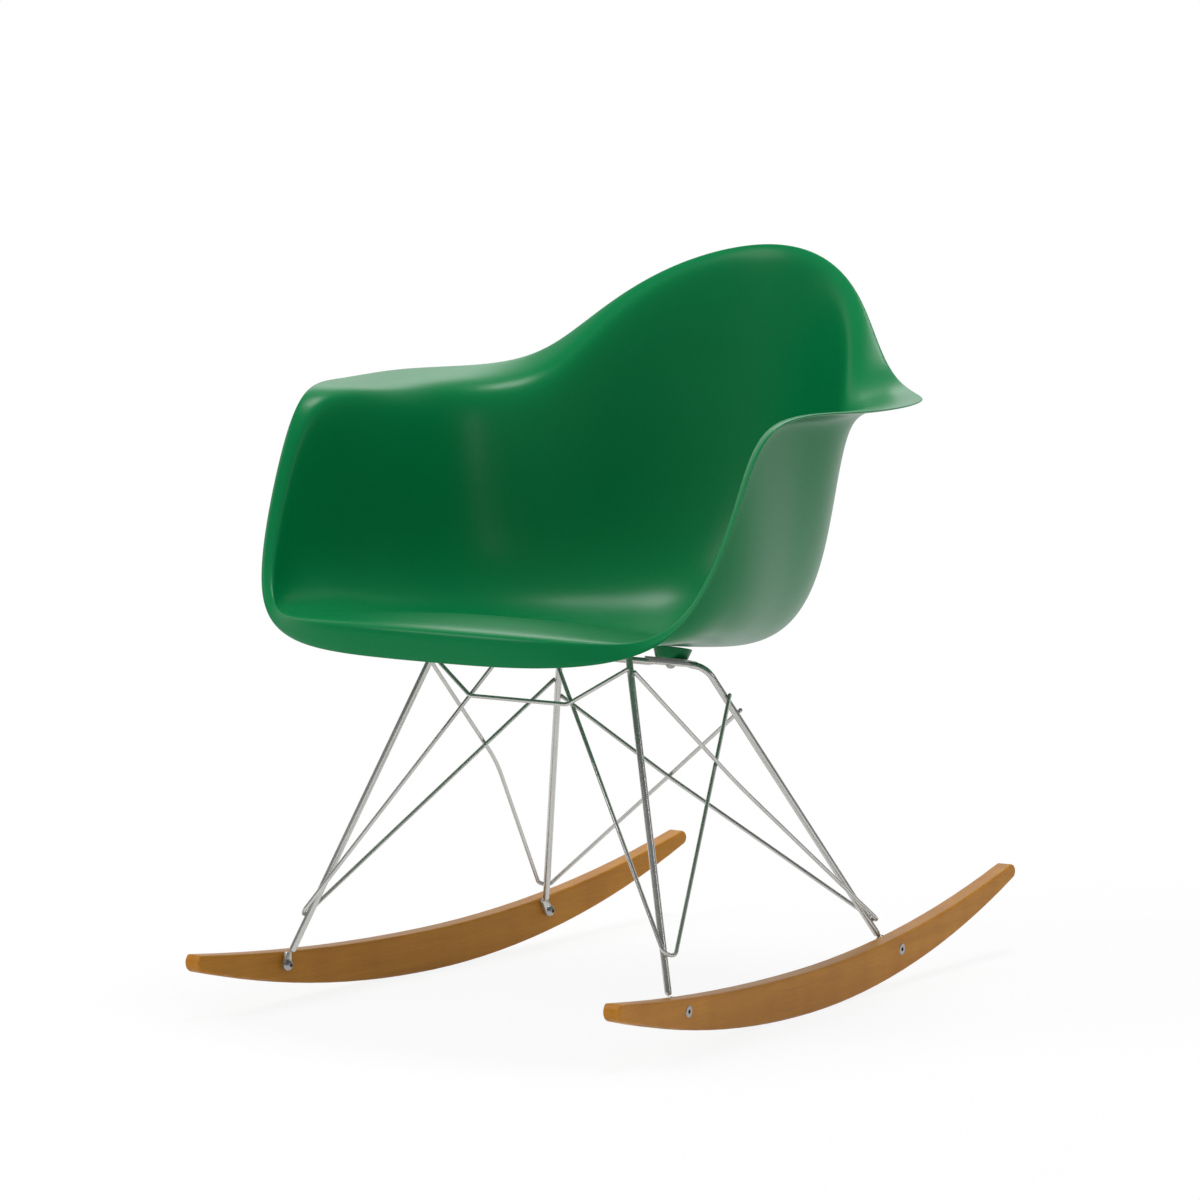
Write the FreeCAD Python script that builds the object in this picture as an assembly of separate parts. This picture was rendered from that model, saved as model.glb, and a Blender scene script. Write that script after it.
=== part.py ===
import FreeCAD, Part
import math
import os

# Moulded armchair shell on a rod base with two wooden rockers.
# Millimetres, +Z up, front of the chair towards -Y, sitter's left towards +X.
# Points below are measured from the front leg bolts and from a level 1 mm over
# the floor; export() moves the chair so that the origin is on the floor under
# the middle of its bounding box.
V = FreeCAD.Vector

# Rockers
ROCKER_THICK = 18.6
ROCKER_OUTER_X = 242.0
ROCKER_REF_Y = 111.8
TOE_IN = 3.2
FLOOR_Z = -1.0
FRONT_REACH = 123.0
REAR_REACH = 663.5
FRONT_RISE = 46.2
REAR_RISE = 76.5
TIP_FRONT = V(0, -FRONT_REACH, FLOOR_Z + FRONT_RISE)
TIP_REAR = V(0, REAR_REACH, FLOOR_Z + REAR_RISE)
CONTACT_Y = 240.0
TOP_LOW_Y = CONTACT_Y - 5.0
ROCKER_DEPTH = 42.0
TOP_LOW_Z = FLOOR_Z + ROCKER_DEPTH
TIP_FRONT_H = 18.0
TIP_REAR_H = 14.0
TIP_ROUND = 6.0
ROCKER_EDGE_R = 2.5
INNER_X = ROCKER_OUTER_X - ROCKER_THICK

# Seat plane: height at its front, and fall towards the rear
SEAT_Z, SEAT_Y, SEAT_SLOPE = 388.0, 95.0, -0.222


def seat_height(y):
    return SEAT_Z + SEAT_SLOPE * (y - SEAT_Y)


# Leg feet and their bolts
FRONT_BOLT_Y, FRONT_BOLT_Z = 0.0, 37.3
REAR_BOLT_Y, REAR_BOLT_Z = 424.0, 36.0
FOOT_RISE = 12.7

# Rods: the corners of the leg frames, the bars lying under the seat plane
LEG_R = 3.5
WIRE_R = 2.1
LEG_BEND = 20.0
FRONT_BAR_X, FRONT_BAR_Y, FRONT_BAR_DROP = 109.3, 102.1, 20.4238
REAR_BAR_X, REAR_BAR_Y, REAR_BAR_DROP = 87.2, 273.4, 20.8952
REAR_FOOT_IN, REAR_FOOT_AHEAD = 21.9, 8.8
FRONT_BAR = V(FRONT_BAR_X, FRONT_BAR_Y, seat_height(FRONT_BAR_Y) - FRONT_BAR_DROP)
REAR_BAR = V(REAR_BAR_X, REAR_BAR_Y, seat_height(REAR_BAR_Y) - REAR_BAR_DROP)
FRONT_FOOT = V(INNER_X, FRONT_BOLT_Y + 2.2, FRONT_BOLT_Z + FOOT_RISE)
REAR_FOOT = V(INNER_X - REAR_FOOT_IN, REAR_BOLT_Y - REAR_FOOT_AHEAD, REAR_BOLT_Z + FOOT_RISE - 0.1)


# Point at a share of the way from one point to another, moved aside.
def beside(start, end, share, dx, dy, dz):
    return start + (end - start) * share + V(dx, dy, dz)


PADDLE_THICK = 5.0
PADDLE_R = 5.5
BOLT_R = 3.0
BOLT_HEAD_R = 5.8
BOLT_HEAD_H = 4.0
NUT_FLANGE_R = 5.8
NUT_FLANGE_H = 1.4
NUT_BARREL_R = 4.0
NUT_LENGTH = 12.5
NUT_PROUD = 0.4
BORE_GAP = 0.15

# Brace and stay wires, each end placed on the leg that it is welded to
BRACE_HALF, BRACE_DROP, BRACE_AHEAD = 57.7, 55.9, 28.6
BRACE_TOP = beside(FRONT_BAR, FRONT_FOOT, 0.05, 3.495, -6.705, -2.2)
BRACE_BEND = V(BRACE_HALF, FRONT_BAR.y - BRACE_AHEAD, FRONT_BAR.z - BRACE_DROP)
BRACE_BEND_R = 12.0
STAY_TOP = V(18.1, FRONT_BAR.y - 4.7, FRONT_BAR.z + 4.4)
STAY_FOOT = FRONT_FOOT + V(3.6, -0.5, 20.6)
STAY_END = beside(REAR_BAR, REAR_FOOT, 0.1, 6.37, 3.12, -0.41)
STAY_BEND_R = 9.5
CROSS_END = beside(REAR_BAR, REAR_FOOT, 0.16, 5.012, 6.612, 0.224)
CROSS_DROP, CROSS_BEHIND = 123.9, 65.9
CROSS_STEP = 2.5
CROSS_FOOT = REAR_FOOT + V(8.6, 4.5, 6.6)
CROSS_BEND_R = 8.0
SIDE_TOP = beside(FRONT_BAR, FRONT_FOOT, 0.07, 6.113, -3.307, 1.42)
SIDE_BOW = beside(CROSS_FOOT, SIDE_TOP, 0.55, -17.715, 5.345, 2.745)
GENTLE_BEND_R = 300.0

# Seat mounts
MOUNT_TILT = -12.55
FRONT_MOUNT_X = 70.0
REAR_MOUNT_X = 46.0
FLAT_W, FLAT_H, FLAT_L = 10.0, 4.2, 52.0
PLATE_L, PLATE_W, PLATE_H = 50.0, 26.0, 2.5
BOSS_R_LOW, BOSS_R_TOP, BOSS_H = 16.0, 20.0, 11.5
SCREW_R = 2.5
SCREW_HEAD_R = 5.0
SCREW_HEAD_H = 3.2
SCREW_REACH = 8.0
INSERT_R = 4.5
INSERT_H = 8.5

# Seat shell: half of its section table, from the front lip round the
# sitter's left arm to the top of the back. Each row is one section:
# rim point (x, y, z), how far the edge turns out and up, corner point (x, y, z).
WALL = 4.4
SHELL_HALF_WIDTH = 307.5
SHELL_FRONT_Y = -88.0
SHELL_BACK_Y = 538.0
ARM_TOP_Z = 599.0
BACK_TOP_Z = 727.0
W, F, B = SHELL_HALF_WIDTH, SHELL_FRONT_Y, SHELL_BACK_Y
S, A, T = SEAT_Z, ARM_TOP_Z, BACK_TOP_Z
SECTIONS = [
    (0.0, F, S - 21.0, 0.0, -26.0, 0.0, F + 28.0, S + 14.0),
    (W - 187.5, F + 8.0, S - 20.0, 1.0, -24.0, W - 195.5, F + 34.0, S + 12.0),
    (W - 100.5, F + 45.0, S - 8.0, 5.0, -12.0, W - 120.5, F + 66.0, S + 4.0),
    (W - 53.0, F + 86.5, S + 37.0, 12.0, -2.0, W - 82.5, F + 112.0, S - 6.0),
    (W - 36.0, F + 138.0, A - 77.0, 14.0, 2.0, W - 68.5, F + 154.0, S - 16.0),
    (W - 29.5, F + 192.0, A - 4.0, 26.0, 6.0, W - 69.5, F + 206.0, S - 28.0),
    (W, B - 328.0, A, 70.0, 5.0, W - 96.5, B - 336.0, S - 37.0),
    (W - 1.0, B - 213.0, A + 1.5, 82.0, 9.0, W - 124.5, B - 255.0, S - 42.0),
    (W - 74.0, B - 135.0, A + 5.5, 63.0, 16.0, W - 164.5, B - 188.0, S - 43.0),
    (W - 130.5, B - 93.0, T - 84.5, 36.0, 18.0, W - 207.5, B - 130.0, S - 43.0),
    (W - 197.5, B - 40.0, T - 28.5, 14.0, 14.0, W - 251.5, B - 82.0, S - 45.0),
    (0.0, B, T, 8.0, 12.0, 0.0, B - 68.0, S - 45.0),
]
SEAT_PATCH = (190.0, 70.0, 85.0)
WALL_CENTRE_Y = 200.0
WALL_BIAS = 0.5
WALL_BULGE = 10.0
EDGE_WALL = 0.7
FLARE_BIAS = 0.35
CAP_LENGTH = 10.0 * SEAT_PATCH[1]
STATIONS = 48
STEPS = 14

ORIGIN_Y = 267.5


def export(name, shape):
    moved = shape.copy()
    moved.translate(V(0, -ORIGIN_Y, -FLOOR_Z))
    moved.exportStep("parts/" + name + ".step")
    print(name, moved.isValid(), len(moved.Solids), round(moved.Volume / 1000.0, 1))


def flip(shape):
    return shape.mirror(V(0, 0, 0), V(1, 0, 0))


def other(point):
    return V(-point.x, point.y, point.z)


def both(shape):
    return [shape, flip(shape)]


# A rod bent round corner points, each with its own bend radius.
def rod(points, bends, radius):
    edges = []
    start = points[0]
    for before, corner, after, bend in zip(points, points[1:], points[2:], bends):
        back = (before - corner).normalize()
        ahead = (after - corner).normalize()
        half = back.getAngle(ahead) / 2.0
        first = corner + back * (bend / math.tan(half))
        last = corner + ahead * (bend / math.tan(half))
        apex = corner + (back + ahead).normalize() * (bend / math.sin(half) - bend)
        edges.append(Part.makeLine(start, first))
        edges.append(Part.Arc(first, apex, last).toShape())
        start = last
    edges.append(Part.makeLine(start, points[-1]))
    ring = Part.makeCircle(radius, points[0], points[1] - points[0])
    return Part.Wire(edges).makePipeShell([Part.Wire(ring)], True, False)


# Turned piece with its axis along +X: (distance along the axis, radius) pairs.
def turned(profile):
    points = [V(a, r, 0) for a, r in profile]
    closed = [V(profile[0][0], 0, 0)] + points + [V(profile[-1][0], 0, 0)]
    closed.append(closed[0])
    face = Part.Face(Part.makePolygon(closed))
    return face.revolve(V(0, 0, 0), V(1, 0, 0), 360)


def bore(radius, start, end):
    return Part.makeCylinder(radius, end - start, V(start, 0, 0), V(1, 0, 0))


# Domed head: flat side at x = 0, dome towards -X, hexagon socket in the dome.
def domed_head(radius, height, key):
    ball = (radius * radius + height * height) / (2.0 * height)
    dome = Part.makeSphere(ball, V(ball - height, 0, 0))
    head = dome.common(bore(radius, -height, 0))
    corners = [V(-height, key * math.cos(a), key * math.sin(a))
               for a in [math.radians(60 * i) for i in range(7)]]
    socket = Part.Face(Part.makePolygon(corners)).extrude(V(height * 0.55, 0, 0))
    return head.cut(socket)


# Rocker frame: x = 0 on the outer face, x axis pointing out of it.
def on_rocker(shape, y, z):
    placed = shape.copy()
    placed.translate(V(0, y, z))
    placed.rotate(V(0, ROCKER_REF_Y, 0), V(0, 0, 1), TOE_IN)
    placed.translate(V(ROCKER_OUTER_X, 0, 0))
    return placed


BOLTS = [(FRONT_BOLT_Y, FRONT_BOLT_Z), (REAR_BOLT_Y, REAR_BOLT_Z)]


# Arc from its lowest point to an end point.
def arc_from_low(low, end):
    run, rise = end.y - low.y, end.z - low.z
    radius = (run * run + rise * rise) / (2.0 * rise)
    angle = math.asin(run / radius) / 2.0
    middle = low + V(0, radius * math.sin(angle), radius * (1 - math.cos(angle)))
    return Part.Arc(low, middle, end).toShape()


# Rounded end of a rocker between its lower and upper arcs.
def round_tip(bottom, top):
    across = (top - bottom).normalize()
    outward = V(0, -across.z, across.y) if bottom.y < CONTACT_Y else V(0, across.z, -across.y)
    apex = (bottom + top) * 0.5 + outward * TIP_ROUND
    return Part.Arc(bottom, apex, top).toShape()


def rocker():
    low, top_low = V(0, CONTACT_Y, FLOOR_Z), V(0, TOP_LOW_Y, TOP_LOW_Z)
    front_top = TIP_FRONT + V(0, -0.2 * TIP_FRONT_H, TIP_FRONT_H)
    rear_top = TIP_REAR + V(0, -0.3 * TIP_REAR_H, TIP_REAR_H)
    outline = Part.Wire(Part.sortEdges([
        arc_from_low(low, TIP_FRONT),
        round_tip(TIP_FRONT, front_top),
        arc_from_low(top_low, front_top),
        arc_from_low(top_low, rear_top),
        round_tip(TIP_REAR, rear_top),
        arc_from_low(low, TIP_REAR),
    ])[0])
    board = Part.Face(outline).extrude(V(-ROCKER_THICK, 0, 0))
    board = board.makeFillet(ROCKER_EDGE_R, board.Edges)
    board = on_rocker(board, 0, 0)
    for y, z in BOLTS:
        board = board.cut(on_rocker(bore(BOLT_R + BORE_GAP, -ROCKER_THICK - 1, 1), y, z))
        board = board.cut(on_rocker(bore(NUT_BARREL_R + BORE_GAP, NUT_PROUD - NUT_LENGTH - 1, 1), y, z))
        board = board.cut(on_rocker(bore(NUT_FLANGE_R + BORE_GAP, NUT_PROUD - NUT_FLANGE_H, 1), y, z))
    return board


def sleeve_nut():
    flange = NUT_PROUD - NUT_FLANGE_H
    body = turned([(NUT_PROUD - NUT_LENGTH, NUT_BARREL_R), (flange, NUT_BARREL_R),
                   (flange, NUT_FLANGE_R), (NUT_PROUD - 0.3, NUT_FLANGE_R),
                   (NUT_PROUD, NUT_FLANGE_R - 0.5)])
    corners = [V(-3.0, 2.3 * math.cos(a), 2.3 * math.sin(a))
               for a in [math.radians(60 * i) for i in range(7)]]
    socket = Part.Face(Part.makePolygon(corners)).extrude(V(5.0, 0, 0))
    thread = bore(BOLT_R + BORE_GAP, NUT_PROUD - NUT_LENGTH - 1, -5.0)
    return body.cut(socket).cut(thread)


def leg_bolt():
    seat = -ROCKER_THICK - PADDLE_THICK
    head = domed_head(BOLT_HEAD_R, BOLT_HEAD_H, 2.3)
    head.translate(V(seat, 0, 0))
    shank = bore(BOLT_R, seat, -6.0)
    return head.fuse(shank).removeSplitter()


# Flattened foot of a leg, lying on the inner face of the rocker.
def paddle(foot, bolt_y, bolt_z):
    lean = math.degrees(math.atan2(foot.y - bolt_y, foot.z - bolt_z))
    length = math.hypot(foot.y - bolt_y, foot.z - bolt_z)
    outline = [V(0, -PADDLE_R, 0), V(0, PADDLE_R, 0), V(0, LEG_R, length), V(0, -LEG_R, length)]
    strip = Part.Face(Part.makePolygon(outline + outline[:1])).extrude(V(PADDLE_THICK, 0, 0))
    strip = strip.fuse(bore(PADDLE_R, 0, PADDLE_THICK))
    strip = strip.cut(bore(BOLT_R + BORE_GAP, -1, PADDLE_THICK + 1))
    strip.rotate(V(0, 0, 0), V(1, 0, 0), -lean)
    strip.translate(V(-ROCKER_THICK - PADDLE_THICK, 0, 0))
    return on_rocker(strip, bolt_y, bolt_z).fuse(Part.makeSphere(LEG_R, foot))


# Mount frame: z = 0 on the axis of the cross bar, tilted with the seat.
def on_mount(shape, bar, x):
    placed = shape.copy()
    placed.rotate(V(0, 0, 0), V(1, 0, 0), MOUNT_TILT)
    placed.translate(V(x, bar.y, bar.z))
    return placed


def block(length, width, low, high):
    return Part.makeBox(length, width, high - low, V(-length / 2, -width / 2, low))


def upright(radius, low, high):
    return Part.makeCylinder(radius, high - low, V(0, 0, low))


def leg_frame(bar, foot, bolt_y, bolt_z, mount_x):
    frame = rod([other(foot), other(bar), bar, foot], [LEG_BEND, LEG_BEND], LEG_R)
    for x in (mount_x, -mount_x):
        frame = frame.cut(on_mount(block(FLAT_L, 3 * LEG_R, -2 * LEG_R, 2 * LEG_R), bar, x))
        flat = block(FLAT_L, FLAT_W, -FLAT_H / 2, FLAT_H / 2)
        flat = flat.cut(upright(SCREW_R + BORE_GAP, -LEG_R, LEG_R))
        frame = frame.fuse(on_mount(flat, bar, x))
    foot_end = paddle(foot, bolt_y, bolt_z)
    return frame.fuse(both(foot_end)).removeSplitter()


def mount_plate():
    low = FLAT_H / 2
    plate = block(PLATE_L, PLATE_W, low, low + PLATE_H)
    plate = plate.makeFillet(4.0, [e for e in plate.Edges if abs(e.Length - PLATE_H) < 0.01])
    return plate.cut(upright(SCREW_R + BORE_GAP, 0, 2 * PLATE_H + low))


BOSS_LOW = FLAT_H / 2 + PLATE_H


def mount_insert():
    sleeve = upright(INSERT_R, BOSS_LOW, BOSS_LOW + INSERT_H)
    return sleeve.cut(upright(SCREW_R + BORE_GAP, 0, BOSS_LOW + INSERT_H - 1))


def mount_screw():
    head = domed_head(SCREW_HEAD_R, SCREW_HEAD_H, 2.0)
    head.rotate(V(0, 0, 0), V(0, 1, 0), -90)
    head.translate(V(0, 0, -FLAT_H / 2))
    shank = upright(SCREW_R, -FLAT_H / 2, BOSS_LOW + SCREW_REACH - 1.5)
    return head.fuse(shank).removeSplitter()


MOUNTS = [(FRONT_BAR, FRONT_MOUNT_X), (FRONT_BAR, -FRONT_MOUNT_X),
          (REAR_BAR, REAR_MOUNT_X), (REAR_BAR, -REAR_MOUNT_X)]


# The section table closed round both sides and eased into one smooth ring.
def ring_of_sections():
    rows = [list(row) for row in SECTIONS]
    for row in SECTIONS[-2:0:-1]:
        rows.append([-row[0]] + list(row[1:5]) + [-row[5]] + list(row[6:]))
    params = [float(i) for i in range(len(rows) + 1)]
    eased = []
    for pick in ((0, 1, 2), (3, 4, 4), (5, 6, 7)):
        points = [V(*[row[i] for i in pick]) for row in rows]
        curve = Part.BSplineCurve()
        curve.interpolate(Points=points, PeriodicFlag=True, Parameters=params)
        eased.append([curve.value(len(rows) * i / STATIONS) for i in range(STATIONS)])
    return zip(*eased)


# One meridian of the inner surface: seat patch, corner, wall, turned-out edge.
def meridian(rim, flare, corner):
    out = V(rim.x, rim.y - WALL_CENTRE_Y, 0).normalize()
    wall = rim - out * flare.x - V(0, 0, flare.y)
    centre_y, half_x, half_y = SEAT_PATCH
    angle = math.atan2(corner.x / half_x, (centre_y - corner.y) / half_y)
    start = V(half_x * math.sin(angle), centre_y - half_y * math.cos(angle), 0)
    start.z = seat_height(start.y)
    step = (corner - start) * 0.35
    ahead = V(start.x + step.x, start.y + step.y, start.z + SEAT_SLOPE * step.y)
    rise = corner + (wall - corner) * WALL_BIAS + out * WALL_BULGE
    edge = wall + (rim - wall) * FLARE_BIAS
    curve = Part.BSplineCurve()
    curve.buildFromPoles([start, ahead, corner, rise, wall, edge, rim])
    low, span = curve.FirstParameter, curve.LastParameter - curve.FirstParameter
    return [curve.value(low + span * i / STEPS) for i in range(STEPS + 1)]


def offset_grid(grid):
    seat_normal = V(0, -SEAT_SLOPE, 1).normalize() * -1
    moved = []
    for i, line in enumerate(grid):
        row = []
        for j, point in enumerate(line):
            along = grid[min(i + 1, STEPS)][j] - grid[max(i - 1, 0)][j]
            across = line[(j + 1) % STATIONS] - line[j - 1]
            normal = across.cross(along).normalize()
            if i == 0:
                normal = seat_normal
            thick = WALL * (EDGE_WALL if i == STEPS else 1.0)
            row.append(point + normal * thick)
        moved.append(row)
    return moved


def seat_shell():
    columns = [meridian(*section) for section in ring_of_sections()]
    inner = [list(row) for row in zip(*columns)]
    outer = offset_grid(inner)
    lip = []
    for a, b, c in zip(inner[-2], inner[-1], outer[-1]):
        lip.append((b + c) * 0.5 + (b - a).normalize() * (WALL * 0.6))
    poles = inner + [lip] + outer[::-1]
    knots = [float(i) for i in range(len(poles) - 2)]
    mults = [4] + [1] * (len(knots) - 2) + [4]
    turns = [float(i) for i in range(STATIONS + 1)]
    skin = Part.BSplineSurface()
    skin.buildFromPolesMultsKnots(poles, mults, [1] * len(turns), knots, turns,
                                  False, True, 3, 3)
    skin = skin.toShape()
    caps = [Part.Face(Part.Wire(e)) for e in skin.Edges if e.isClosed() and e.Length < CAP_LENGTH]
    sewn = Part.makeShell([skin] + caps)
    sewn.sewShape()
    shell = Part.makeSolid(Part.Shell(sewn.Faces))
    if shell.Volume < 0:
        shell.reverse()
    boss = Part.makeCone(BOSS_R_LOW, BOSS_R_TOP, BOSS_H, V(0, 0, BOSS_LOW))
    boss = boss.cut(upright(INSERT_R, BOSS_LOW, BOSS_LOW + INSERT_H))
    for bar, x in MOUNTS:
        shell = shell.fuse(on_mount(boss, bar, x))
    return shell


os.makedirs("parts", exist_ok=True)
export("seat_shell", seat_shell())
export("front_leg_frame", leg_frame(FRONT_BAR, FRONT_FOOT, FRONT_BOLT_Y, FRONT_BOLT_Z, FRONT_MOUNT_X))
export("rear_leg_frame", leg_frame(REAR_BAR, REAR_FOOT, REAR_BOLT_Y, REAR_BOLT_Z, REAR_MOUNT_X))
export("front_brace", rod([BRACE_TOP, BRACE_BEND, other(BRACE_BEND), other(BRACE_TOP)],
                          [BRACE_BEND_R, BRACE_BEND_R], WIRE_R))
stay = rod([STAY_TOP, STAY_FOOT, STAY_END], [STAY_BEND_R], WIRE_R)
export("stay_wire_left", stay)
export("stay_wire_right", flip(stay))
for side, step in (("left", -CROSS_STEP), ("right", CROSS_STEP)):
    middle = V(0, REAR_BAR.y + CROSS_BEHIND + step, REAR_BAR.z - CROSS_DROP)
    cross = rod([other(CROSS_END), middle, CROSS_FOOT, SIDE_BOW, SIDE_TOP],
                [GENTLE_BEND_R, CROSS_BEND_R, GENTLE_BEND_R], WIRE_R)
    export("cross_wire_" + side, cross if side == "left" else flip(cross))
left_rocker = rocker()
export("rocker_left", left_rocker)
export("rocker_right", flip(left_rocker))
plate = mount_plate()
for name, (bar, x) in zip(("front_left", "front_right", "rear_left", "rear_right"), MOUNTS):
    export("mount_plate_" + name, on_mount(plate, bar, x))
export("mount_inserts", Part.makeCompound([on_mount(mount_insert(), bar, x) for bar, x in MOUNTS]))
export("mount_screws", Part.makeCompound([on_mount(mount_screw(), bar, x) for bar, x in MOUNTS]))
left_bolts = [on_rocker(leg_bolt(), y, z) for y, z in BOLTS]
export("leg_bolts", Part.makeCompound(left_bolts + [flip(b) for b in left_bolts]))
left_nuts = [on_rocker(sleeve_nut(), y, z) for y, z in BOLTS]
export("sleeve_nuts", Part.makeCompound(left_nuts + [flip(n) for n in left_nuts]))
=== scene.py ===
import math

import bmesh
import bpy
import numpy
from mathutils import Matrix, Vector


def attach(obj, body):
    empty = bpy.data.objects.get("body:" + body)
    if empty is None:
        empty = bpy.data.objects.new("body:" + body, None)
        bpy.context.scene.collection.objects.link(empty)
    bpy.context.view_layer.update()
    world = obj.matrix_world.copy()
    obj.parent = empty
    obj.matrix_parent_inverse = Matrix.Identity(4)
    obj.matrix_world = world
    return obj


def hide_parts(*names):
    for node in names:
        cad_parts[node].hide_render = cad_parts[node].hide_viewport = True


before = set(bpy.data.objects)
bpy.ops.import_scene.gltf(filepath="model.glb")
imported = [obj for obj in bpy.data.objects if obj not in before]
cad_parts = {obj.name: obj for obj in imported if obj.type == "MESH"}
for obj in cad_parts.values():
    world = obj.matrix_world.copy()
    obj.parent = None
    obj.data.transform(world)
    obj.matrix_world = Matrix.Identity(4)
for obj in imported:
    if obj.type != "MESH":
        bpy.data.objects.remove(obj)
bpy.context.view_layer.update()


# ---------------------------------------------------------------- seat shell
# The real piece is one injection moulding of satin polypropylene, about 4 mm
# thick, coloured right through. Seat, back and both arms run into each other,
# and the rim is turned out and rounded. It is screwed down through four bosses.
CHAIR_Y, CHAIR_Z = -267.5, 1.0
WELD = 0.000002
SHELL_WALL = 4.4
SHELL_EDGE_WALL = 0.7
SHELL_LIP = 0.6
SHELL_SECTIONS = [
    (0.0, -88.0, 367.0, 0.0, -26.0, 0.0, -60.0, 402.0),
    (120.0, -80.0, 368.0, 1.0, -24.0, 112.0, -54.0, 400.0),
    (207.0, -43.0, 380.0, 5.0, -12.0, 187.0, -22.0, 392.0),
    (254.5, -1.5, 425.0, 12.0, -2.0, 225.0, 24.0, 382.0),
    (271.5, 50.0, 522.0, 14.0, 2.0, 239.0, 66.0, 372.0),
    (278.0, 104.0, 595.0, 26.0, 6.0, 238.0, 118.0, 360.0),
    (307.5, 210.0, 599.0, 70.0, 5.0, 211.0, 202.0, 351.0),
    (306.5, 325.0, 600.5, 82.0, 9.0, 183.0, 283.0, 346.0),
    (233.5, 403.0, 604.5, 63.0, 16.0, 143.0, 350.0, 345.0),
    (177.0, 445.0, 642.5, 36.0, 18.0, 100.0, 408.0, 345.0),
    (110.0, 498.0, 698.5, 14.0, 14.0, 56.0, 456.0, 343.0),
    (0.0, 538.0, 727.0, 8.0, 12.0, 0.0, 470.0, 343.0),
]
SEAT_PATCH_Y, SEAT_PATCH_HALF_X, SEAT_PATCH_HALF_Y = 190.0, 70.0, 85.0
SEAT_Z, SEAT_Y, SEAT_SLOPE = 388.0, 95.0, -0.222
AHEAD_SHARE, WALL_SHARE, EDGE_SHARE = 0.35, 0.5, 0.35
WALL_BULGE, WALL_CENTRE_Y = 10.0, 200.0
SHELL_STATIONS = 48
SHELL_STEPS = 14
RING_ROUNDS = 48
SMOOTH_LEVELS = 3
SHELL_GREEN = (0.0, 0.172, 0.051, 1.0)
SHELL_GREEN_DEEP = (0.0, 0.152, 0.043, 1.0)


# Chair millimetres (from the front leg bolts, 1 mm over the floor) to the frame.
def chair(point):
    x, y, z = point
    return Vector((x, y + CHAIR_Y, z + CHAIR_Z)) / 1000.0


def flip_x(point):
    return (-point[0], point[1], point[2])


# A finished mesh as an object that stands for the CAD nodes named after it.
def put(mesh, name, paint, nodes, crease=35.0):
    bmesh.ops.remove_doubles(mesh, verts=mesh.verts, dist=WELD)
    bmesh.ops.recalc_face_normals(mesh, faces=mesh.faces)
    for face in mesh.faces:
        face.smooth = True
    for edge in mesh.edges:
        edge.smooth = edge.calc_face_angle(0.0) < math.radians(crease)
    data = bpy.data.meshes.new(name)
    mesh.to_mesh(data)
    mesh.free()
    data.materials.append(paint)
    piece = bpy.data.objects.new(name, data)
    bpy.context.scene.collection.objects.link(piece)
    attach(piece, "root")
    if nodes:
        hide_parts(*nodes)
    return piece


# A number, colour or direction that varies over a surface.
class Field:
    def __init__(self, tree, socket=None):
        self.tree = tree
        self.socket = socket

    def node(self, kind, settings, inputs, out=0):
        made = self.tree.nodes.new("ShaderNode" + kind)
        for name, value in settings.items():
            if name == "stops":
                ramp = made.color_ramp.elements
                ramp[0].position, ramp[0].color = value[0]
                ramp[-1].position, ramp[-1].color = value[-1]
                for place, colour in value[1:-1]:
                    ramp.new(place).color = colour
            else:
                setattr(made, name, value)
        for name, value in inputs.items():
            if isinstance(value, Field):
                self.tree.links.new(value.socket, made.inputs[name])
            else:
                made.inputs[name].default_value = value
        return Field(self.tree, made.outputs[out] if made.outputs else None)

    # Object coordinates: the fourth output of the coordinate node.
    def place(self):
        return self.node("TexCoord", {}, {}, 3)

    def math(self, operation, a, b=0.0):
        return self.node("Math", {"operation": operation}, {0: a, 1: b})

    def __add__(self, other):
        return self.math("ADD", self, other)

    def __radd__(self, other):
        return self.math("ADD", other, self)

    def __sub__(self, other):
        return self.math("SUBTRACT", self, other)

    def __rsub__(self, other):
        return self.math("SUBTRACT", other, self)

    def __mul__(self, other):
        return self.math("MULTIPLY", self, other)

    def __rmul__(self, other):
        return self.math("MULTIPLY", other, self)

    def __gt__(self, other):
        return self.math("GREATER_THAN", self, other)

    # Noise on the piece's own coordinates, stretched and turned.
    def noise(self, stretch, detail=2.0, turn=0.0, rough=0.5):
        place = self.node("Mapping", {}, {"Vector": self.place(), "Scale": stretch,
                                          "Rotation": (0.0, 0.0, turn)})
        return self.node("TexNoise", {}, {"Vector": place, "Scale": 1.0, "Detail": detail,
                                          "Roughness": rough})

    # Colour mix; a Mix node's colour sockets are inputs 6 and 7 and output 2.
    def blend(self, amount, first, second):
        return self.node("Mix", {"data_type": "RGBA"}, {0: amount, 6: first, 7: second}, 2)

    def stops(self, value, *stops):
        return self.node("ValToRGB", {"stops": stops}, {"Fac": value})

    def bump(self, height, strength, distance):
        return self.node("Bump", {}, {"Height": height, "Strength": strength,
                                      "Distance": distance})


# A new Principled material: uniform values go straight on the shader's sockets.
def finish_material(name, uniform):
    material = bpy.data.materials.new(name)
    material.use_nodes = True
    shader = material.node_tree.nodes["Principled BSDF"]
    for socket, value in uniform.items():
        shader.inputs[socket].default_value = value
    return material, Field(material.node_tree), shader


def wear(field, shader, socket, value):
    field.tree.links.new(value.socket, shader.inputs[socket])


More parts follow.
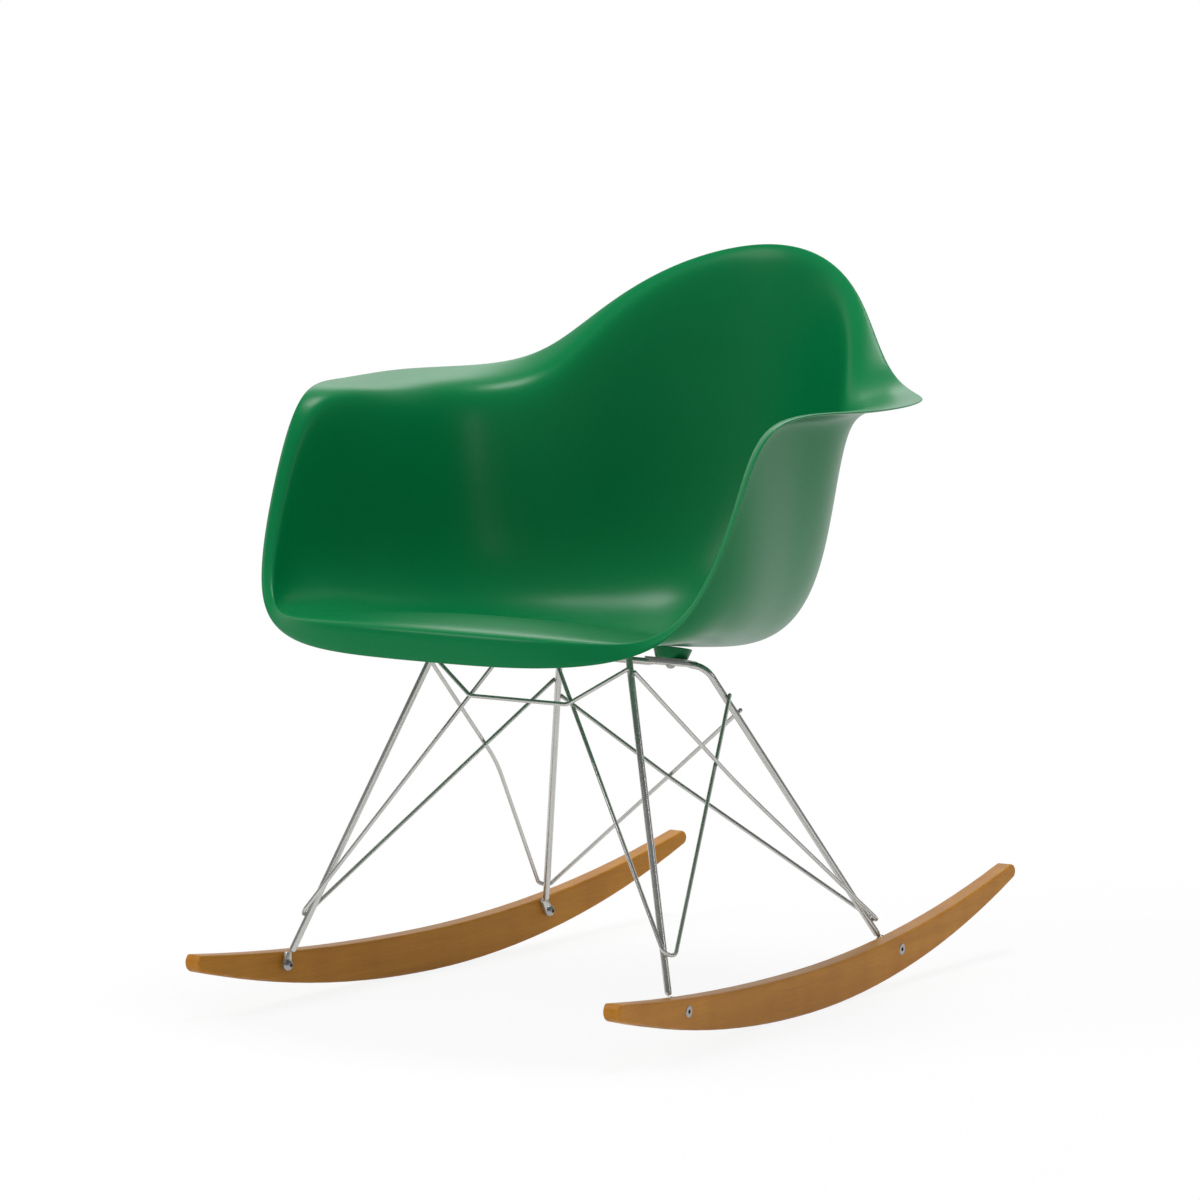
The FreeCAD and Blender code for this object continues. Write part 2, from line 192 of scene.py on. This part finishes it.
shell_plastic, f, shader = finish_material("shell_plastic", {"Specular IOR Level": 0.16})
cloud = f.noise((6.0, 6.0, 6.0))
grain = f.noise((1500.0, 1500.0, 1500.0), 1.0)
scuff = f.noise((90.0, 520.0, 90.0), 3.0, 0.5)
wear(f, shader, "Base Color", f.blend(cloud, SHELL_GREEN_DEEP, SHELL_GREEN))
wear(f, shader, "Roughness", 0.27 + 0.05 * cloud + 0.04 * scuff)
wear(f, shader, "Normal", f.bump(grain * 0.8 + scuff * 0.2, 0.06, 0.0002))


# The table of sections closed round both sides, eased into one smooth ring.
def shell_ring():
    rows = [list(row) for row in SHELL_SECTIONS]
    for row in SHELL_SECTIONS[-2:0:-1]:
        rows.append([-row[0]] + list(row[1:5]) + [-row[5]] + list(row[6:]))
    rows = numpy.array(rows)
    pull = rows.copy()
    for _ in range(RING_ROUNDS):
        pull = (6.0 * rows - numpy.roll(pull, 1, 0) - numpy.roll(pull, -1, 0)) / 4.0
    ring = []
    for station in range(SHELL_STATIONS):
        whole, part = divmod(station * len(rows) / SHELL_STATIONS, 1.0)
        weights = ((1 - part) ** 3, 3 * part ** 3 - 6 * part ** 2 + 4,
                   1 + 3 * part + 3 * part ** 2 - 3 * part ** 3, part ** 3)
        ring.append(sum(weight * pull[(int(whole) - 1 + i) % len(rows)] / 6.0
                        for i, weight in enumerate(weights)))
    return ring


# One meridian of the inner surface: seat patch, corner, wall, turned-out edge.
def shell_meridian(section):
    rim, corner = Vector(section[:3]), Vector(section[5:])
    out = Vector((rim.x, rim.y - WALL_CENTRE_Y, 0.0)).normalized()
    wall = rim - out * section[3] - Vector((0.0, 0.0, section[4]))
    angle = math.atan2(corner.x / SEAT_PATCH_HALF_X,
                       (SEAT_PATCH_Y - corner.y) / SEAT_PATCH_HALF_Y)
    start = Vector((SEAT_PATCH_HALF_X * math.sin(angle),
                    SEAT_PATCH_Y - SEAT_PATCH_HALF_Y * math.cos(angle), 0.0))
    start.z = SEAT_Z + SEAT_SLOPE * (start.y - SEAT_Y)
    ahead = start + (corner - start) * AHEAD_SHARE
    ahead.z = start.z + SEAT_SLOPE * (ahead.y - start.y)
    rise = corner.lerp(wall, WALL_SHARE) + out * WALL_BULGE
    edge = wall.lerp(rim, EDGE_SHARE)
    pulls = [start, ahead, corner, rise, wall, edge, rim]
    knots = (0, 0, 0, 0, 1, 2, 3, 4, 4, 4, 4)
    line = []
    for step in range(SHELL_STEPS + 1):
        where = 4.0 * step / SHELL_STEPS
        span = min(int(where), 3)
        near = pulls[span:span + 4]
        for level in (1, 2, 3):
            for k in range(3, level - 1, -1):
                low, high = knots[span + k], knots[span + 4 + k - level]
                near[k] = near[k - 1].lerp(near[k], (where - low) / (high - low))
        line.append(near[3])
    return line


# Inner surface, rounded lip and outer surface as one net of points.
def shell_net():
    columns = [shell_meridian(section) for section in shell_ring()]
    inner = numpy.array([[list(point) for point in row] for row in zip(*columns)])
    after = numpy.concatenate([inner[1:], inner[-1:]])
    along = after - numpy.concatenate([inner[:1], inner[:-1]])
    across = numpy.roll(inner, -1, 1) - numpy.roll(inner, 1, 1)
    normal = numpy.cross(across, along)
    normal[0] = (0.0, SEAT_SLOPE, -1.0)
    normal /= numpy.linalg.norm(normal, axis=2, keepdims=True)
    thick = numpy.full((SHELL_STEPS + 1, 1, 1), SHELL_WALL)
    thick[-1] *= SHELL_EDGE_WALL
    outer = inner + normal * thick
    ahead = inner[-1] - inner[-2]
    ahead /= numpy.linalg.norm(ahead, axis=1, keepdims=True)
    lip = (inner[-1] + outer[-1]) / 2.0 + ahead * (SHELL_WALL * SHELL_LIP)
    return numpy.concatenate([inner, lip[None], outer[::-1]])


net = shell_net()
mesh = bmesh.new()
bmesh.ops.create_grid(mesh, x_segments=SHELL_STATIONS, y_segments=len(net) - 1, size=1.0)
mesh.verts.ensure_lookup_table()
for index, vert in enumerate(mesh.verts):
    row, station = divmod(index, SHELL_STATIONS + 1)
    vert.co = chair(net[row][station % SHELL_STATIONS])
bmesh.ops.remove_doubles(mesh, verts=mesh.verts, dist=WELD)
bmesh.ops.holes_fill(mesh, edges=[edge for edge in mesh.edges if edge.is_boundary], sides=0)
shell = put(mesh, "shell_moulding", shell_plastic, ["seat_shell"], 180.0)
smooth = shell.modifiers.new("smooth", "SUBSURF")
smooth.levels = smooth.render_levels = SMOOTH_LEVELS
bpy.context.view_layer.update()
cage = shell.data
shell.data = bpy.data.meshes.new_from_object(
    shell.evaluated_get(bpy.context.evaluated_depsgraph_get()))
shell.modifiers.clear()
bpy.data.meshes.remove(cage)


# ------------------------------------------------------- seat shell's bosses
# Four round bosses are moulded under the seat in the same plastic. Each holds a
# brass insert and stands on a steel plate on the flattened bar of a leg frame.
FRONT_BAR = (109.3, 102.1, 366.0)
REAR_BAR = (87.2, 273.4, 327.5)
MOUNT_TILT = -12.55
FRONT_MOUNT_X, REAR_MOUNT_X = 70.0, 46.0
MOUNTS = [(FRONT_BAR, FRONT_MOUNT_X), (FRONT_BAR, -FRONT_MOUNT_X),
          (REAR_BAR, REAR_MOUNT_X), (REAR_BAR, -REAR_MOUNT_X)]
BOSS_LOW, BOSS_H = 4.6, 11.5
BOSS_R_LOW, BOSS_R_TOP = 16.0, 20.0
BOSS_ROUND = 0.0012


# The frame of one mount: z = 0 on the axis of the cross bar, tilted with the seat.
def mount_place(bar, x, up=0.0):
    spot = Matrix.Translation(chair((x, bar[1], bar[2])))
    tilt = Matrix.Rotation(math.radians(MOUNT_TILT), 4, "X")
    return spot @ tilt @ Matrix.Translation((0.0, 0.0, up / 1000.0))


mesh = bmesh.new()
for bar, x in MOUNTS:
    made = bmesh.ops.create_cone(mesh, cap_ends=True, segments=72, depth=BOSS_H / 1000.0,
                                 radius1=BOSS_R_LOW / 1000.0, radius2=BOSS_R_TOP / 1000.0,
                                 matrix=mount_place(bar, x, BOSS_LOW + BOSS_H / 2.0))
    rim = [edge for edge in mesh.edges if edge.verts[0] in made["verts"]
           and edge.calc_face_angle(0.0) > 1.0]
    bmesh.ops.bevel(mesh, geom=rim, offset=BOSS_ROUND, affect="EDGES", segments=3, profile=0.5,
                    material=-1)
put(mesh, "shell_bosses", shell_plastic, ["seat_shell"])


# ----------------------------------------------------------------- leg frames
# Each leg frame is one 7 mm steel rod, bent over the seat bar and down into both
# legs. The bar is pressed flat where the shell is screwed on, and each leg ends
# in a flattened, drilled foot. The whole base is welded up, then chromed.
LEG_R = 3.5
LEG_BEND = 20.0
FRONT_FOOT = (223.4, 2.2, 50.0)
REAR_FOOT = (201.5, 415.2, 48.6)
FRONT_BOLT = (0.0, 37.3)
REAR_BOLT = (424.0, 36.0)
FLAT_HALF_L, FLAT_HALF_H, FLAT_SPREAD, FLAT_RUN = 26.0, 2.1, 5.0 / 3.5, 5.0
PADDLE_R, PADDLE_THICK, PADDLE_ROUND = 5.5, 5.0, 0.0009
ROCKER_THICK, ROCKER_OUTER_X, ROCKER_REF_Y, TOE_IN = 18.6, 242.0, 111.8, 3.2

chromed_rod, f, shader = finish_material("chromed_rod", {"Metallic": 0.8})
smudge = f.noise((40.0, 40.0, 40.0), 2.0)
drawn = f.noise((300.0, 300.0, 60.0), 2.0)
wear(f, shader, "Base Color",
     f.blend(smudge, (0.50, 0.50, 0.48, 1.0), (0.62, 0.62, 0.60, 1.0)))
wear(f, shader, "Roughness", 0.20 + 0.08 * smudge + 0.04 * drawn)


# A round rod along straight runs joined by bends, each with its own radius.
def bend_rod(mesh, points, bends, radius, sides=24, nose=0.5):
    points = [chair(point) for point in points]
    way = (points[1] - points[0]).to_track_quat("Z", "Y").to_matrix().to_4x4()
    made = bmesh.ops.create_circle(mesh, segments=sides, radius=radius / 1000.0,
                                   matrix=Matrix.Translation(points[0]) @ way)
    ring = list({edge for vert in made["verts"] for edge in vert.link_edges})
    ends = list(ring)
    here = points[0]

    def run(ring, move):
        made = bmesh.ops.extrude_edge_only(mesh, edges=ring)["geom"]
        verts = {item for item in made if isinstance(item, bmesh.types.BMVert)}
        bmesh.ops.translate(mesh, verts=list(verts), vec=move)
        return [item for item in made if isinstance(item, bmesh.types.BMEdge)
                and set(item.verts) <= verts]

    for before, corner, after, bend in zip(points, points[1:], points[2:], bends):
        back, ahead = (before - corner).normalized(), (after - corner).normalized()
        half = back.angle(ahead) / 2.0
        reach = bend / 1000.0 / math.tan(half)
        ring = run(ring, corner + back * reach - here)
        centre = corner + (back + ahead).normalized() * (bend / 1000.0 / math.sin(half))
        turn = math.pi - 2.0 * half
        made = bmesh.ops.spin(mesh, geom=ring, cent=centre, axis=back.cross(ahead),
                              angle=-turn, steps=max(6, round(math.degrees(turn) / 6.0)))
        ring = [item for item in made["geom_last"] if isinstance(item, bmesh.types.BMEdge)]
        here = corner + ahead * reach
    ends += run(ring, points[-1] - here)
    bmesh.ops.holes_fill(mesh, edges=ends, sides=0)
    bmesh.ops.bevel(mesh, geom=ends, offset=radius / 1000.0 * nose, affect="EDGES", segments=4,
                    profile=0.5, material=-1)


# Presses the bar flat round each mount, with a short run-out at both ends.
def press_flats(mesh, bar, mount_x):
    for side in (mount_x, -mount_x):
        for x in (-FLAT_HALF_L, FLAT_RUN - FLAT_HALF_L, FLAT_HALF_L - FLAT_RUN, FLAT_HALF_L):
            bmesh.ops.bisect_plane(mesh, geom=mesh.verts[:] + mesh.edges[:] + mesh.faces[:],
                                   plane_co=((side + x) / 1000.0, 0.0, 0.0),
                                   plane_no=(1.0, 0.0, 0.0))
    place = mount_place(bar, 0.0)
    for vert in mesh.verts:
        if abs(abs(vert.co.x * 1000.0) - mount_x) < FLAT_HALF_L - FLAT_RUN + 0.1:
            local = place.inverted() @ vert.co
            local.y *= FLAT_SPREAD
            local.z = max(-FLAT_HALF_H, min(FLAT_HALF_H, local.z * 1000.0)) / 1000.0
            vert.co = place @ local


# The frame of a rocker: x = 0 on its outer face, which runs in towards the rear.
def rocker_place(y, z):
    pivot = chair((0.0, ROCKER_REF_Y, -1.0))
    spot = chair((0.0, y, z))
    toe = Matrix.Rotation(math.radians(TOE_IN), 4, "Z")
    out = Matrix.Translation((ROCKER_OUTER_X / 1000.0, 0.0, 0.0))
    return out @ Matrix.Translation(pivot) @ toe @ Matrix.Translation(spot - pivot)


# Flattened foot of a leg on the inner face of the left rocker.
def paddle(mesh, foot, bolt):
    rise, lean = foot[2] - bolt[1], foot[1] - bolt[0]
    long = math.hypot(rise, lean) / 1000.0
    part = bmesh.new()
    start = part.verts.new((0.0, -PADDLE_R / 1000.0, 0.0))
    bmesh.ops.spin(part, geom=[start], cent=(0.0, 0.0, 0.0), axis=(1.0, 0.0, 0.0),
                   angle=math.pi, steps=24)
    top = [part.verts.new((0.0, side * LEG_R / 1000.0, long)) for side in (-1.0, 1.0)]
    low = sorted(part.verts, key=lambda vert: vert.co.y)
    part.edges.new((low[0], top[0]))
    part.edges.new((top[0], top[1]))
    part.edges.new((top[1], low[-1]))
    face = bmesh.ops.contextual_create(part, geom=part.edges[:])["faces"]
    made = bmesh.ops.extrude_face_region(part, geom=face)["geom"]
    verts = [item for item in made if isinstance(item, bmesh.types.BMVert)]
    bmesh.ops.translate(part, verts=verts, vec=(PADDLE_THICK / 1000.0, 0.0, 0.0))
    bmesh.ops.recalc_face_normals(part, faces=part.faces)
    sharp = [edge for edge in part.edges if edge.calc_face_angle(0.0) > 0.9]
    bmesh.ops.bevel(part, geom=sharp, offset=PADDLE_ROUND, affect="EDGES", segments=3,
                    profile=0.5, material=-1)
    place = rocker_place(*bolt)
    place = place @ Matrix.Translation((-(ROCKER_THICK + PADDLE_THICK) / 1000.0, 0.0, 0.0))
    place = place @ Matrix.Rotation(-math.atan2(lean, rise), 4, "X")
    bmesh.ops.transform(part, matrix=place, verts=part.verts)
    data = bpy.data.meshes.new("foot")
    part.to_mesh(data)
    mesh.from_mesh(data)
    bmesh.ops.transform(part, matrix=Matrix.Scale(-1.0, 4, (1.0, 0.0, 0.0)), verts=part.verts)
    part.to_mesh(data)
    mesh.from_mesh(data)
    part.free()
    bpy.data.meshes.remove(data)


for name, bar, foot, bolt, mount_x in (
        ("front_leg_frame", FRONT_BAR, FRONT_FOOT, FRONT_BOLT, FRONT_MOUNT_X),
        ("rear_leg_frame", REAR_BAR, REAR_FOOT, REAR_BOLT, REAR_MOUNT_X)):
    mesh = bmesh.new()
    route = [flip_x(foot), flip_x(bar), bar, foot]
    bend_rod(mesh, route, [LEG_BEND, LEG_BEND], LEG_R, 32, 0.9)
    press_flats(mesh, bar, mount_x)
    paddle(mesh, foot, bolt)
    put(mesh, name + ".rod", chromed_rod, [name])


# ------------------------------------------------------------ brace and wires
# Thinner 4.2 mm wires brace the two leg frames: a short cranked brace under the
# front bar, a long hairpin on each side and two bowed wires that cross behind.
# They are bent cold and welded where they touch the legs, and chromed with them.
WIRE_R = 2.1
BRACE_BEND_R, STAY_BEND_R, CROSS_BEND_R, GENTLE_BEND_R = 12.0, 9.5, 8.0, 300.0
CROSS_MIDDLE, CROSS_STEP = (0.0, 339.3, 203.6), 2.5
BRACE_TOP = (118.5, 90.4, 348.0)
BRACE_BEND = (57.7, 73.5, 310.1)
STAY_WIRE = [(18.1, 97.4, 370.4), (227.0, 1.7, 70.6), (105.0, 290.7, 299.2)]
CROSS_END = (110.5, 302.7, 283.1)
CROSS_FOOT = (210.1, 419.7, 55.2)
SIDE_BOW = (144.7, 244.7, 217.5)
SIDE_TOP = (123.4, 91.8, 345.3)

mesh = bmesh.new()
bend_rod(mesh, [BRACE_TOP, BRACE_BEND, flip_x(BRACE_BEND), flip_x(BRACE_TOP)],
         [BRACE_BEND_R, BRACE_BEND_R], WIRE_R)
put(mesh, "front_brace.wire", chromed_rod, ["front_brace"])

for side, step in (("left", -CROSS_STEP), ("right", CROSS_STEP)):
    turn = (lambda point: point) if side == "left" else flip_x
    mesh = bmesh.new()
    bend_rod(mesh, [turn(point) for point in STAY_WIRE], [STAY_BEND_R], WIRE_R)
    put(mesh, "stay_wire_" + side + ".wire", chromed_rod, ["stay_wire_" + side])
    mesh = bmesh.new()
    x, y, z = CROSS_MIDDLE
    route = [flip_x(CROSS_END), (x, y + step, z), CROSS_FOOT, SIDE_BOW, SIDE_TOP]
    bend_rod(mesh, [turn(point) for point in route],
             [GENTLE_BEND_R, CROSS_BEND_R, GENTLE_BEND_R], WIRE_R)
    put(mesh, "cross_wire_" + side + ".wire", chromed_rod,
        ["cross_wire_" + side])


# -------------------------------------------------------------------- rockers
# Two curved runners sawn from straight-grained maple board, edges rounded over,
# stained honey colour and lacquered. The grain runs straight through the curve.
MAPLE_LIGHT = (0.50, 0.222, 0.022, 1.0)
MAPLE_MID = (0.42, 0.170, 0.012, 1.0)
MAPLE_DARK = (0.34, 0.126, 0.007, 1.0)
MAPLE_FLECK = (0.22, 0.085, 0.014, 1.0)


def maple(name, toe):
    material, f, shader = finish_material(name, {"Coat Weight": 0.04, "Coat Roughness": 0.25,
                                                   "Specular IOR Level": 0.2})
    turn = math.radians(toe)
    board = f.noise((9.0, 1.4, 14.0), 2.0, turn)
    figure = f.noise((70.0, 3.0, 90.0), 3.0, turn, 0.6)
    fibre = f.noise((420.0, 9.0, 520.0), 3.0, turn, 0.6)
    fleck = f.noise((900.0, 60.0, 1100.0), 1.0, turn) > 0.68
    flame = f.noise((30.0, 26.0, 5.0), 2.0, turn)
    tone = 0.25 * board + 0.25 * figure + 0.25 * fibre + 0.25 * flame
    colour = f.stops(tone, (0.34, MAPLE_DARK), (0.50, MAPLE_MID), (0.66, MAPLE_LIGHT))
    colour = f.blend(0.25 * fleck, colour, MAPLE_FLECK)
    wear(f, shader, "Base Color", colour)
    wear(f, shader, "Roughness", 0.38 + 0.14 * fibre)
    wear(f, shader, "Normal", f.bump(0.7 * fibre + 0.3 * figure - 0.3 * fleck, 0.10, 0.0003))
    return material


for side, toe in (("left", -TOE_IN), ("right", TOE_IN)):
    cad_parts["rocker_" + side].data.materials[0] = maple("rocker_maple_" + side, toe)


# ----------------------------------------- plates, inserts, screws and bolts
# Pressed zinc-plated plates lie between the flattened bars and the bosses, and a
# screw goes up through each into a brass insert. At the feet, domed socket bolts
# go through the legs into sleeve nuts let into the rockers' outer faces.
def plated(name, colour, rough):
    material, f, shader = finish_material(name, {"Metallic": 1.0})
    cloud = f.noise((160.0, 160.0, 160.0), 2.0)
    brushed = f.noise((1600.0, 120.0, 1600.0), 2.0)
    dull = tuple(0.72 * part for part in colour[:3]) + (1.0,)
    wear(f, shader, "Base Color", f.blend(cloud, dull, colour))
    wear(f, shader, "Roughness", rough + 0.12 * cloud + 0.06 * brushed)
    wear(f, shader, "Normal", f.bump(brushed, 0.08, 0.0001))
    return material


zinc = plated("zinc_plate", (0.46, 0.46, 0.45, 1.0), 0.30)
brass = plated("turned_brass", (0.60, 0.42, 0.16, 1.0), 0.28)
bolt_steel = plated("bolt_steel", (0.42, 0.42, 0.42, 1.0), 0.26)
for place in ("front_left", "front_right", "rear_left", "rear_right"):
    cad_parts["mount_plate_" + place].data.materials[0] = zinc
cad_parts["mount_inserts"].data.materials[0] = brass
for name in ("mount_screws", "leg_bolts", "sleeve_nuts"):
    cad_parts[name].data.materials[0] = bolt_steel


# ------------------------------------------------------ floor, light, camera
# A plain white studio: the floor and the backdrop both show as white to the
# camera and in reflections, and the floor still takes the chair's soft shadow.
FLOOR_HALF = 12.0
FLOOR_GREY = (0.82, 0.82, 0.82, 1.0)
WHITE = (1.0, 1.0, 1.0, 1.0)
STUDIO_GREY, STUDIO_DIM = (0.60, 0.60, 0.60, 1.0), (0.10, 0.10, 0.10, 1.0)
BACKDROP_WAY = (-0.56, 0.83, 0.0)
AIM_LOW, AIM_SEAT = (0.0, 0.0, 0.4), (0.0, 0.0, 0.5)

mesh = bmesh.new()
bmesh.ops.create_grid(mesh, x_segments=1, y_segments=1, size=FLOOR_HALF)
data = bpy.data.meshes.new("studio_floor")
mesh.to_mesh(data)
mesh.free()
floor = bpy.data.objects.new("studio_floor", data)
bpy.context.scene.collection.objects.link(floor)


# 1 for rays of one kind, such as those that come straight from the camera.
def ray(field, kind):
    path = field.tree.nodes.new("ShaderNodeLightPath")
    return Field(field.tree, path.outputs["Is " + kind + " Ray"])


# 1 for what the camera sees, directly or in metal and glass.
def path_rays(field):
    return ray(field, "Camera") + ray(field, "Glossy") + ray(field, "Transmission")


paper = bpy.data.materials.new("floor_paper")
paper.use_nodes = True
data.materials.append(paper)
f = Field(paper.node_tree)
f.tree.nodes.clear()
rays = path_rays(f)
matt = f.node("BsdfDiffuse", {}, {"Color": FLOOR_GREY})
glow = f.node("Emission", {}, {"Color": WHITE, "Strength": 1.0})
away = f.node("VectorMath", {"operation": "LENGTH"}, {0: f.place()}, 1)
# Under the chair the floor keeps its shadow; further out it fades to white.
fade = f.node("MapRange", {}, {0: away, 1: 0.5, 2: 1.6, 3: 0.88, 4: 1.0})
shown = f.node("MixShader", {}, {0: rays * fade, 1: matt, 2: glow})
f.node("OutputMaterial", {}, {"Surface": shown})

world = bpy.data.worlds.new("studio")
bpy.context.scene.world = world
world.use_nodes = True
f = Field(world.node_tree)
f.tree.nodes.clear()
seen = path_rays(f)
soft = f.node("Background", {}, {"Color": STUDIO_GREY, "Strength": 1.0})
backdrop = f.node("VectorMath", {"operation": "DOT_PRODUCT"},
                  {0: f.node("TexCoord", {}, {}, 0), 1: BACKDROP_WAY}, 1)
# Reflections see the white backdrop behind the chair and a dim room elsewhere.
dim = f.node("MapRange", {}, {0: backdrop, 1: 0.3, 2: 0.8, 3: 1.0, 4: 0.0})
shade = f.blend(dim * (1.0 - ray(f, "Camera")), WHITE, STUDIO_DIM)
white = f.node("Background", {}, {"Color": shade, "Strength": 1.0})
shown = f.node("MixShader", {}, {0: seen, 1: soft, 2: white})
f.node("OutputWorld", {}, {"Surface": shown})


def softbox(name, spot, aim, width, height, watts):
    data = bpy.data.lights.new(name, "AREA")
    data.shape, data.size, data.size_y, data.energy = "RECTANGLE", width, height, watts
    lamp = bpy.data.objects.new(name, data)
    lamp.location = spot
    lamp.rotation_euler = (Vector(aim) - Vector(spot)).to_track_quat("-Z", "Y").to_euler()
    bpy.context.scene.collection.objects.link(lamp)


softbox("key_softbox", (-1.4, -2.2, 2.6), AIM_LOW, 1.6, 1.6, 42.0)
softbox("top_softbox", (0.05, 0.4, 3.0), AIM_LOW, 0.8, 0.8, 38.0)
softbox("back_softbox", (-1.3, 2.0, 1.9), AIM_LOW, 1.4, 0.7, 6.0)
softbox("side_softbox", (2.6, 0.2, 1.4), AIM_SEAT, 0.3, 0.8, 4.0)

CAMERA_SPOT = (4.29909, -6.42245, 1.34971)
CAMERA_DOWN, CAMERA_ROUND = 7.076, 34.0
lens = bpy.data.cameras.new("camera")
lens.lens, lens.sensor_width = 234.94, 36.0
lens.shift_x, lens.shift_y = -0.00125, -0.00078
lens.clip_end = 40.0
camera = bpy.data.objects.new("camera", lens)
camera.location = CAMERA_SPOT
camera.rotation_euler = (math.radians(90.0 - CAMERA_DOWN), 0.0, math.radians(CAMERA_ROUND))
bpy.context.scene.collection.objects.link(camera)
bpy.context.scene.camera = camera
bpy.context.scene.view_settings.view_transform = "Standard"

bpy.context.view_layer.update()
